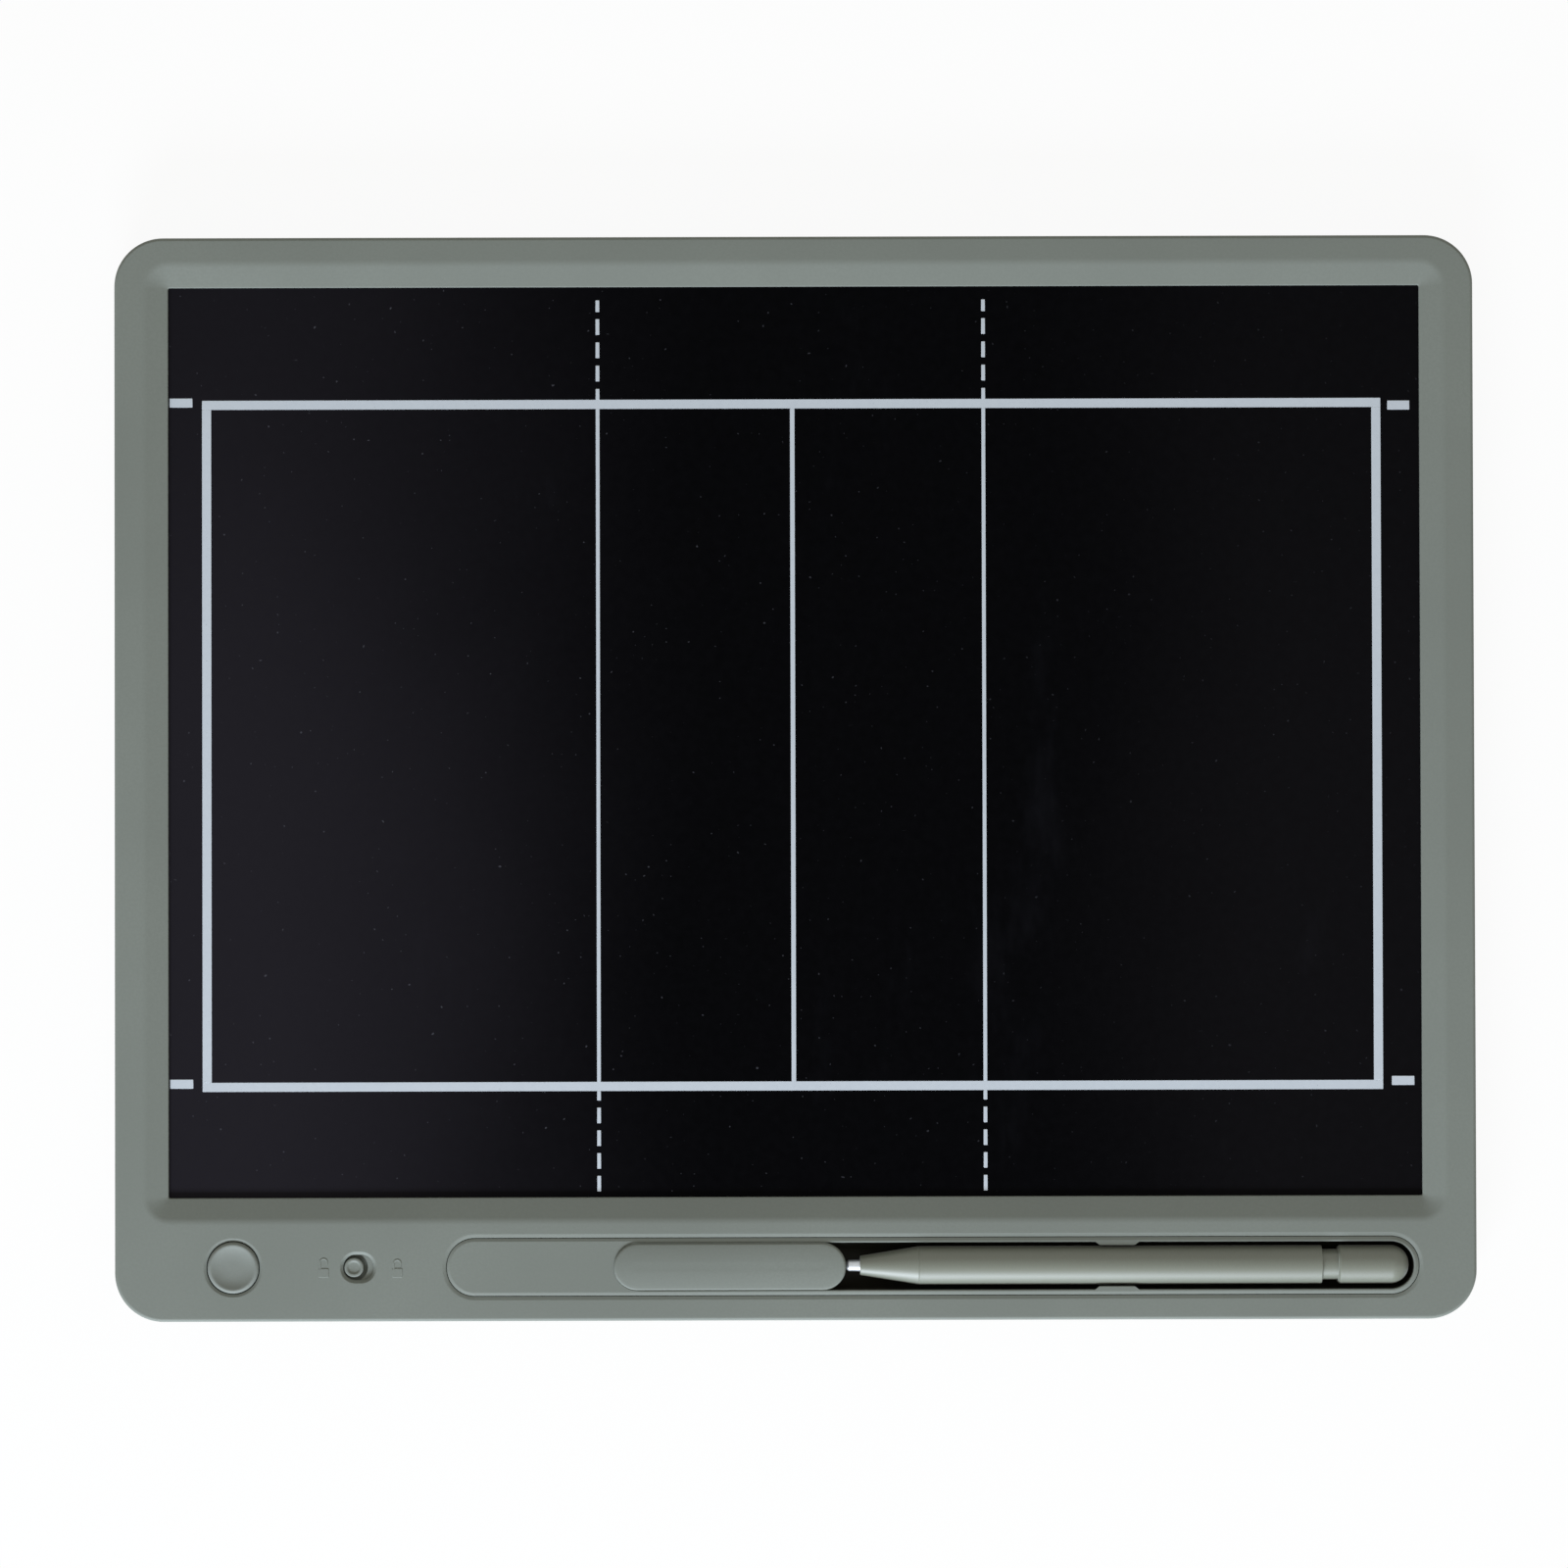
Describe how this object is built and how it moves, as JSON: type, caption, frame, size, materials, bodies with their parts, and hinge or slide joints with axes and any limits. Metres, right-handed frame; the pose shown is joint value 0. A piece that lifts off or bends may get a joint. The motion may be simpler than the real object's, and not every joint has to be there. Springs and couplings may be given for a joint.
{
  "type": "lcd tactics board",
  "caption": "Flat LCD writing board with a printed game court, a framed dark screen, a strip with an erase button, lock switch and sliding cover, and a pen lying in its trough.",
  "frame": {"origin": "the middle of the board's outline, on the plane that its feet stand on", "axes": "the board lies on its back: +X to the right along its length, +Y towards the edge away from the pen, +Z out of the screen"},
  "size_m": [0.335, 0.267, 0.0135],
  "materials": {
    "shell": "grey-green ABS with a fine satin spark texture",
    "screen": "near-black writing film with a printed pale court",
    "tape": "black double-sided foam tape",
    "backing": "dark grey styrene sheet",
    "flex": "amber polyimide film",
    "circuit": "green solder mask",
    "moulded_black": "black moulded component body",
    "plated_steel": "bright plated steel",
    "contact_brass": "sprung brass strip",
    "pen_body": "grey-green pearl lacquer with a soft sheen",
    "pen_tip": "pale metal tip",
    "foot_rubber": "dark grey rubber"
  },
  "bodies": {
    "housing": {"front_bezel": "shell", "rear_cover": "shell", "pen_tray": "shell", "lcd_panel": "screen", "lcd_adhesive_frame": "tape", "lcd_backing_sheet": "backing", "lcd_flex_tail": "flex", "circuit_board": "circuit", "flex_connector": "moulded_black", "driver_chip": "moulded_black", "boost_coil": "moulded_black", "erase_switch_body": "moulded_black", "filter_capacitor": "plated_steel", "lock_switch_body": "plated_steel", "coin_cell": "plated_steel", "pcb_screw_1": "plated_steel", "pcb_screw_2": "plated_steel", "housing_screw_1": "plated_steel", "housing_screw_2": "plated_steel", "housing_screw_3": "plated_steel", "housing_screw_4": "plated_steel", "housing_screw_5": "plated_steel", "housing_screw_6": "plated_steel", "housing_screw_7": "plated_steel", "housing_screw_8": "plated_steel", "battery_contact_negative": "contact_brass", "battery_contact_positive": "contact_brass", "rubber_foot_1": "foot_rubber", "rubber_foot_2": "foot_rubber", "rubber_foot_3": "foot_rubber", "rubber_foot_4": "foot_rubber"},
    "erase_button": {"erase_button_cap": "shell", "erase_switch_plunger": "moulded_black"},
    "lock_switch": {"lock_knob": "shell", "lock_switch_lever": "moulded_black"},
    "pen_slider": {"pen_slider_cover": "shell", "pen_slider_runner": "shell"},
    "stylus": {"stylus_nib": "pen_tip", "stylus_cone": "pen_body", "stylus_barrel": "pen_body", "stylus_end_cap": "pen_body"},
    "door": {"battery_door": "shell", "battery_door_screw": "plated_steel"}
  },
  "joints": [
    {"name": "erase_button_press", "type": "slide", "parent": "housing", "child": "erase_button", "axis": [0, 0, 1], "range_m": [-0.0006, 0], "stiffness_N_per_m": 150, "springref_m": 0.0004},
    {"name": "lock_switch_slide", "type": "slide", "parent": "housing", "child": "lock_switch", "axis": [1, 0, 0], "range_m": [0, 0.0022]},
    {"name": "pen_slider_travel", "type": "slide", "parent": "housing", "child": "pen_slider", "axis": [-1, 0, 0], "range_m": [0, 0.038]},
    {"name": "stylus_lift", "type": "slide", "parent": "housing", "child": "stylus", "axis": [0, 0, 1], "range_m": [0, 0.05]},
    {"name": "battery_door_removal", "type": "slide", "parent": "housing", "child": "door", "axis": [0, 0, -1], "range_m": [0, 0.03]}
  ]
}
